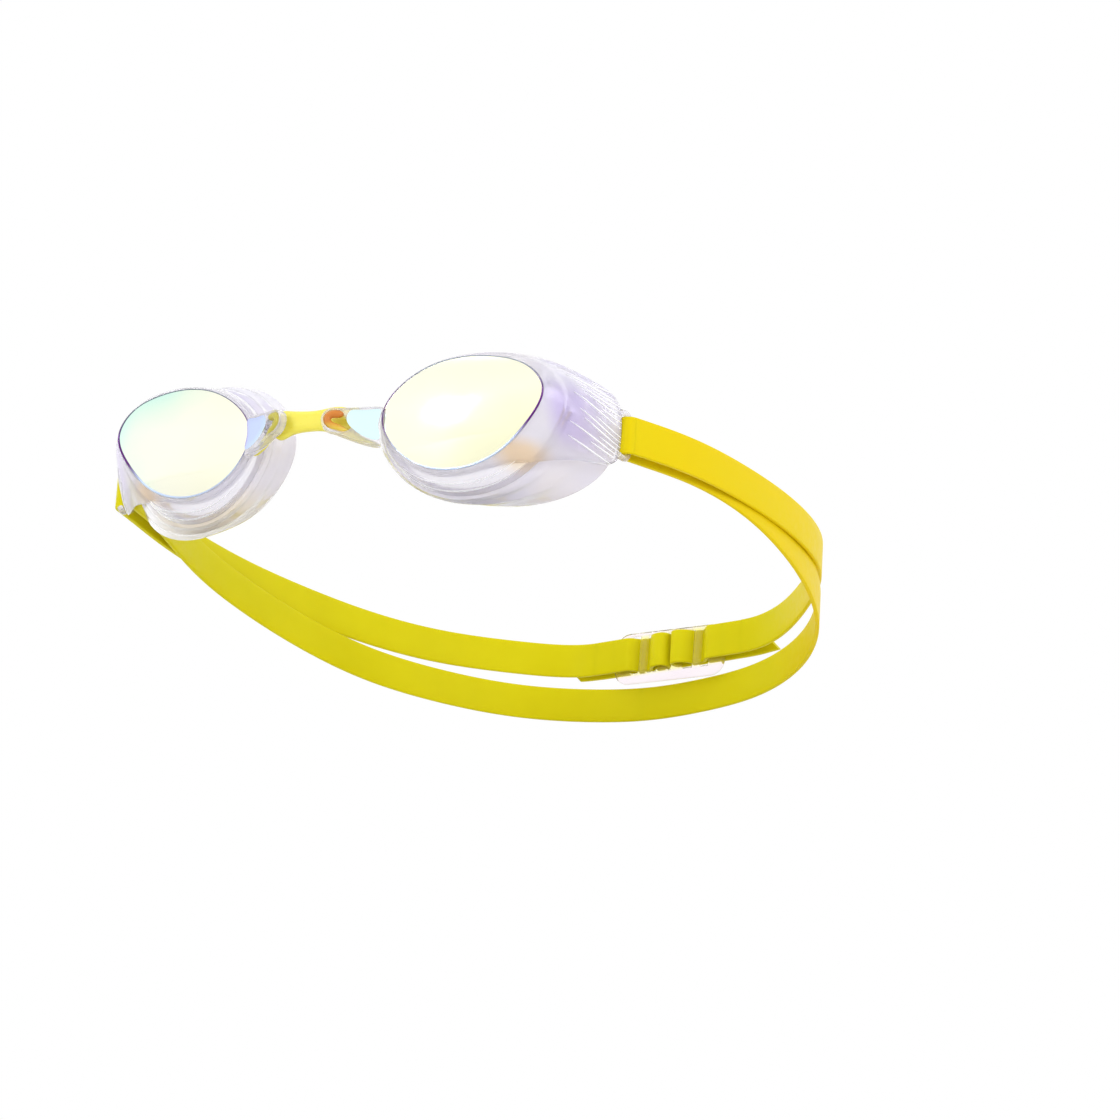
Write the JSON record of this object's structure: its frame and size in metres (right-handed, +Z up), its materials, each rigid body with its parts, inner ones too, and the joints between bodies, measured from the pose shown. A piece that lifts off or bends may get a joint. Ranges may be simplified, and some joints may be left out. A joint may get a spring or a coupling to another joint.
{
  "type": "swim goggles",
  "caption": "Low-profile swim goggles: mirrored clear eyepieces with soft gaskets, a nose bridge and a split yellow strap with a slide buckle.",
  "frame": {"origin": "midway between the two nose-bridge eyelets, at the middle of the nose bridge", "axes": "+Z up as worn, -Y is the way the wearer looks, +Y runs back along the strap, +X is the wearer's left"},
  "size_m": [0.1559, 0.193, 0.0396],
  "materials": {
    "clear_shell": "clear polycarbonate, polished",
    "clear_silicone": "clear frosted silicone",
    "clear_buckle": "clear plastic, polished",
    "yellow_bridge": "glossy yellow elastomer",
    "yellow_strap": "satin yellow silicone"
  },
  "bodies": {
    "bridge": {"nose_bridge": "yellow_bridge"},
    "eyepiece_left": {"eyepiece_left": "clear_shell", "gasket_left": "clear_silicone"},
    "eyepiece_right": {"eyepiece_right": "clear_shell", "gasket_right": "clear_silicone"},
    "fold_left": {"strap_fold_left": "yellow_strap"},
    "fold_right": {"strap_fold_right": "yellow_strap"},
    "upper_left": {"upper_band_left": "yellow_strap", "strap_run_left": "yellow_strap"},
    "upper_right": {"upper_band_right": "yellow_strap", "strap_run_right": "yellow_strap"},
    "lower_left": {"lower_band_left": "yellow_strap"},
    "lower_right": {"lower_band_right": "yellow_strap"},
    "buckle": {"buckle": "clear_buckle", "strap_weave_left": "yellow_strap", "strap_weave_right": "yellow_strap", "strap_link_left": "yellow_strap", "strap_link_right": "yellow_strap"},
    "tails": {"strap_tail_left": "yellow_strap", "strap_tail_right": "yellow_strap"}
  },
  "joints": [
    {"name": "eyepiece_swivel", "type": "hinge", "parent": "bridge", "child": "eyepiece_left", "pos_m": [0.0088, -0.0002, 0], "axis": [0, 0, 1], "range_deg": [-3, 3], "stiffness_Nm_per_rad": 0.02},
    {"name": "eyepiece_right_swivel", "type": "hinge", "parent": "bridge", "child": "eyepiece_right", "pos_m": [-0.0088, -0.0002, 0], "axis": [0, 0, 1], "range_deg": [-3, 3], "stiffness_Nm_per_rad": 0.02},
    {"name": "fold_left_pivot", "type": "hinge", "parent": "eyepiece_left", "child": "fold_left", "pos_m": [0.0669, 0.031, -0.00085], "axis": [0, 0, 1], "range_deg": [-3.7, 3.7]},
    {"name": "fold_right_pivot", "type": "hinge", "parent": "eyepiece_right", "child": "fold_right", "pos_m": [-0.0669, 0.031, -0.00085], "axis": [0, 0, 1], "range_deg": [-3.7, 3.7]},
    {"name": "upper_band_swing", "type": "hinge", "parent": "fold_left", "child": "upper_left", "pos_m": [0.0669, 0.031, -0.00085], "axis": [1, 0, 0], "range_deg": [0, 50]},
    {"name": "upper_band_right_swing", "type": "hinge", "parent": "fold_right", "child": "upper_right", "pos_m": [-0.0669, 0.031, -0.00085], "axis": [1, 0, 0], "range_deg": [0, 50]},
    {"name": "lower_band_swing", "type": "hinge", "parent": "fold_left", "child": "lower_left", "pos_m": [0.0669, 0.031, -0.00085], "axis": [1, 0, 0], "range_deg": [-30, 0]},
    {"name": "lower_band_right_swing", "type": "hinge", "parent": "fold_right", "child": "lower_right", "pos_m": [-0.0669, 0.031, -0.00085], "axis": [1, 0, 0], "range_deg": [-30, 0]},
    {"name": "buckle_slide", "type": "slide", "parent": "upper_left", "child": "buckle", "axis": [0.9826, -0.1857, 0], "range_m": [-0.005, 0.005], "deforming": ["strap_run_left", "strap_run_right"]},
    {"name": "tails_slide", "type": "slide", "parent": "buckle", "child": "tails", "axis": [0.9826, -0.1857, 0], "range_m": [-0.005, 0.005], "deforming": ["strap_link_left", "strap_link_right"]}
  ],
  "couplings": [
    {"joint": "eyepiece_right_swivel", "follows": "eyepiece_swivel", "ratio": -1},
    {"joint": "fold_left_pivot", "follows": "eyepiece_swivel", "ratio": -1.215},
    {"joint": "fold_right_pivot", "follows": "eyepiece_swivel", "ratio": 1.215},
    {"joint": "upper_band_right_swing", "follows": "upper_band_swing", "ratio": 1},
    {"joint": "lower_band_right_swing", "follows": "lower_band_swing", "ratio": 1},
    {"joint": "tails_slide", "follows": "buckle_slide", "ratio": 1}
  ]
}
